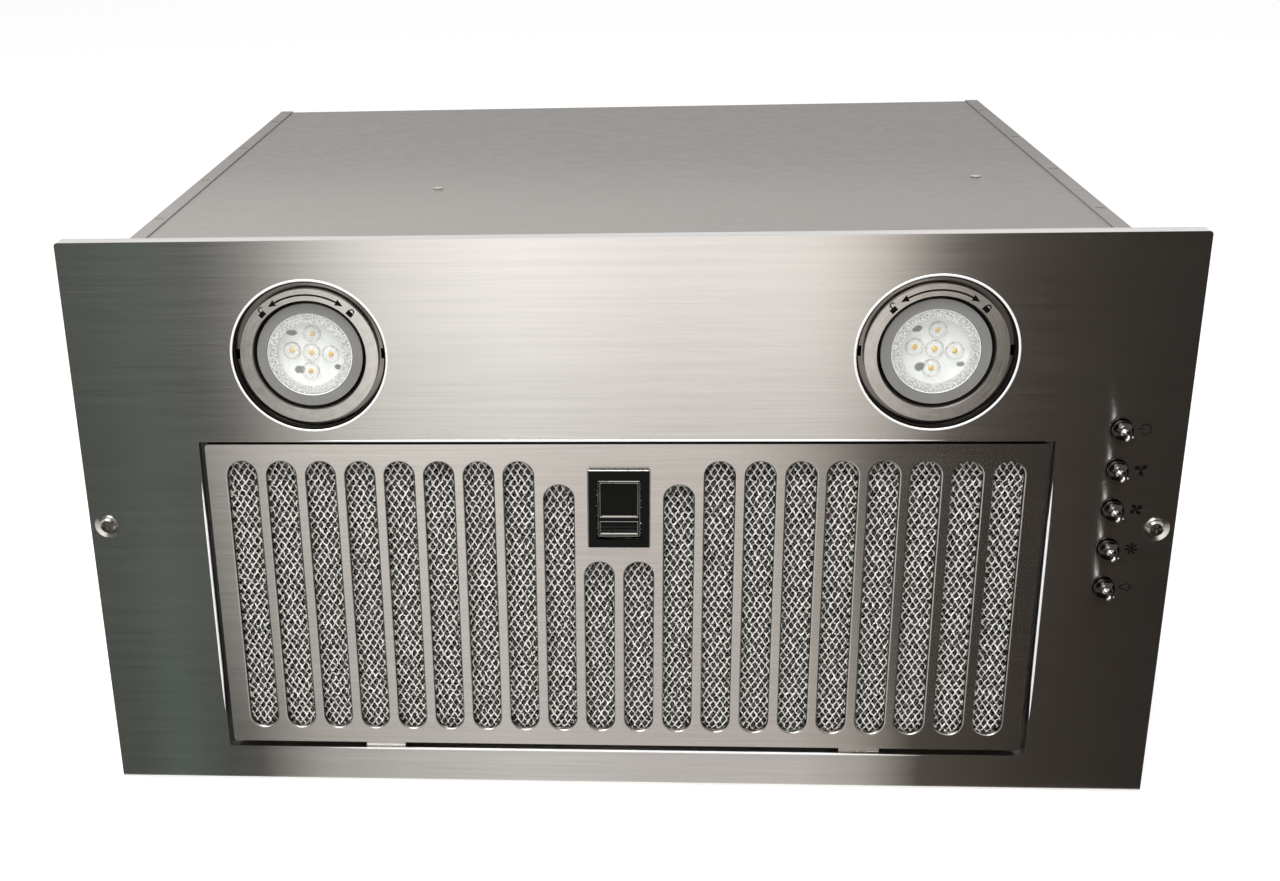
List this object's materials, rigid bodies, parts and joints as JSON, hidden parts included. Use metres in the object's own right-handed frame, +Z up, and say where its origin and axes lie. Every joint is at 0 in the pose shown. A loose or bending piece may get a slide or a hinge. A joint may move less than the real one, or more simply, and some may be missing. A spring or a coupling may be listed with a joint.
{
  "type": "range hood insert",
  "caption": "Built-in range hood insert: brushed steel face with slotted grease filter and latch, round lights, push buttons, sheet-metal body with blower and duct collar.",
  "frame": {"origin": "bottom centre of the bounding box, as the insert stands on the lower long edge of its face panel", "axes": "+X to the right along the panel, +Y from the face back into the body towards the duct, +Z up; installed, the face looks down, so +Y of this frame then points up"},
  "size_m": [0.52, 0.491, 0.286],
  "materials": {
    "panel_steel": "brushed stainless, horizontal grain",
    "filter_steel": "brushed stainless, horizontal grain",
    "body_sheet": "matte zinc-coated sheet",
    "inner_sheet": "zinc-coated sheet",
    "mesh": "knitted aluminium mesh",
    "chrome": "polished",
    "gloss_black": "glossy",
    "ring_steel": "brushed",
    "screw_steel": "bright zinc",
    "spring_steel": "bright",
    "lamp_grey": "satin",
    "lens": "clear with frosted edge",
    "led": "clear domes on a white board",
    "ceramic": "glazed",
    "black_plastic": "fine texture",
    "white_plastic": "satin",
    "rubber": "matte",
    "motor_paint": "satin black",
    "core_steel": "bare laminations",
    "wheel_sheet": "zinc-coated sheet",
    "capacitor_can": "drawn"
  },
  "bodies": {
    "root": {"face_panel": "panel_steel", "filter_frame": "inner_sheet", "top_wall": "body_sheet", "bottom_wall": "body_sheet", "left_wall": "body_sheet", "right_wall": "body_sheet", "back_wall": "body_sheet", "roof_rivets": "screw_steel", "panel_screws": "screw_steel", "switch_block": "black_plastic", "switch_bracket": "inner_sheet", "scroll_wrap": "inner_sheet", "scroll_side_left": "inner_sheet", "scroll_side_right": "inner_sheet", "motor_stator": "core_steel", "motor_can": "motor_paint", "motor_cap": "motor_paint", "motor_bearings": "spring_steel", "motor_bracket": "inner_sheet", "bracket_screws": "screw_steel", "blower_hanger": "inner_sheet", "blower_foot": "inner_sheet", "duct_collar": "body_sheet", "collar_screws": "screw_steel", "flap_rod": "spring_steel", "wiring_box": "inner_sheet", "wiring_cover": "inner_sheet", "terminal_block": "white_plastic", "cable_grommet": "rubber", "capacitor": "capacitor_can", "capacitor_clip": "inner_sheet", "light_can_left": "inner_sheet", "lamp_left": "lamp_grey", "lamp_leds_left": "led", "lamp_lens_left": "lens", "lampholder_left": "ceramic", "light_can_right": "inner_sheet", "lamp_right": "lamp_grey", "lamp_leds_right": "led", "lamp_lens_right": "lens", "lampholder_right": "ceramic"},
    "filter": {"filter_face": "filter_steel", "filter_pad": "mesh", "filter_back": "inner_sheet", "latch_bezel": "gloss_black", "latch_spring": "spring_steel"},
    "latch": {"latch_slide": "gloss_black"},
    "ring_left": {"light_ring_left": "ring_steel"},
    "ring_right": {"light_ring_right": "ring_steel"},
    "blower": {"blower_wheel": "wheel_sheet", "wheel_blades": "wheel_sheet", "motor_shaft": "spring_steel", "motor_rotor": "core_steel"},
    "flap_left": {"damper_flap_left": "inner_sheet"},
    "flap_right": {"damper_flap_right": "inner_sheet"},
    "button_power": {"button_power": "chrome"},
    "button_low": {"button_low": "chrome"},
    "button_medium": {"button_medium": "chrome"},
    "button_high": {"button_high": "chrome"},
    "button_light": {"button_light": "chrome"}
  },
  "joints": [
    {"name": "filter_tilt", "type": "hinge", "parent": "root", "child": "filter", "pos_m": [0, -0.22965, 0.02065], "axis": [1, 0, 0], "range_deg": [0, 85]},
    {"name": "latch_travel", "type": "slide", "parent": "filter", "child": "latch", "axis": [0, 0, -1], "range_m": [0, 0.0035], "stiffness_N_per_m": 500, "springref_m": -0.002, "deforming": ["latch_spring"]},
    {"name": "ring_left_turn", "type": "hinge", "parent": "root", "child": "ring_left", "pos_m": [-0.1447, -0.2315, 0.2305], "axis": [0, -1, 0], "range_deg": [0, 30]},
    {"name": "ring_right_turn", "type": "hinge", "parent": "root", "child": "ring_right", "pos_m": [0.1447, -0.2315, 0.2305], "axis": [0, -1, 0], "range_deg": [0, 30]},
    {"name": "blower_spin", "type": "hinge", "parent": "root", "child": "blower", "pos_m": [0, 0.0385, 0.12], "axis": [1, 0, 0], "continuous": true},
    {"name": "flap_left_swing", "type": "hinge", "parent": "root", "child": "flap_left", "pos_m": [0, 0.1965, 0.19], "axis": [0, 0, -1], "range_deg": [0, 75]},
    {"name": "flap_right_swing", "type": "hinge", "parent": "root", "child": "flap_right", "pos_m": [0, 0.1965, 0.19], "axis": [0, 0, 1], "range_deg": [0, 75]},
    {"name": "button_power_press", "type": "slide", "parent": "root", "child": "button_power", "axis": [0, 1, 0], "range_m": [0, 0.0035], "stiffness_N_per_m": 600, "springref_m": -0.001},
    {"name": "button_low_press", "type": "slide", "parent": "root", "child": "button_low", "axis": [0, 1, 0], "range_m": [0, 0.0035], "stiffness_N_per_m": 600, "springref_m": -0.001},
    {"name": "button_medium_press", "type": "slide", "parent": "root", "child": "button_medium", "axis": [0, 1, 0], "range_m": [0, 0.0035], "stiffness_N_per_m": 600, "springref_m": -0.001},
    {"name": "button_high_press", "type": "slide", "parent": "root", "child": "button_high", "axis": [0, 1, 0], "range_m": [0, 0.0035], "stiffness_N_per_m": 600, "springref_m": -0.001},
    {"name": "button_light_press", "type": "slide", "parent": "root", "child": "button_light", "axis": [0, 1, 0], "range_m": [0, 0.0035], "stiffness_N_per_m": 600, "springref_m": -0.001}
  ]
}
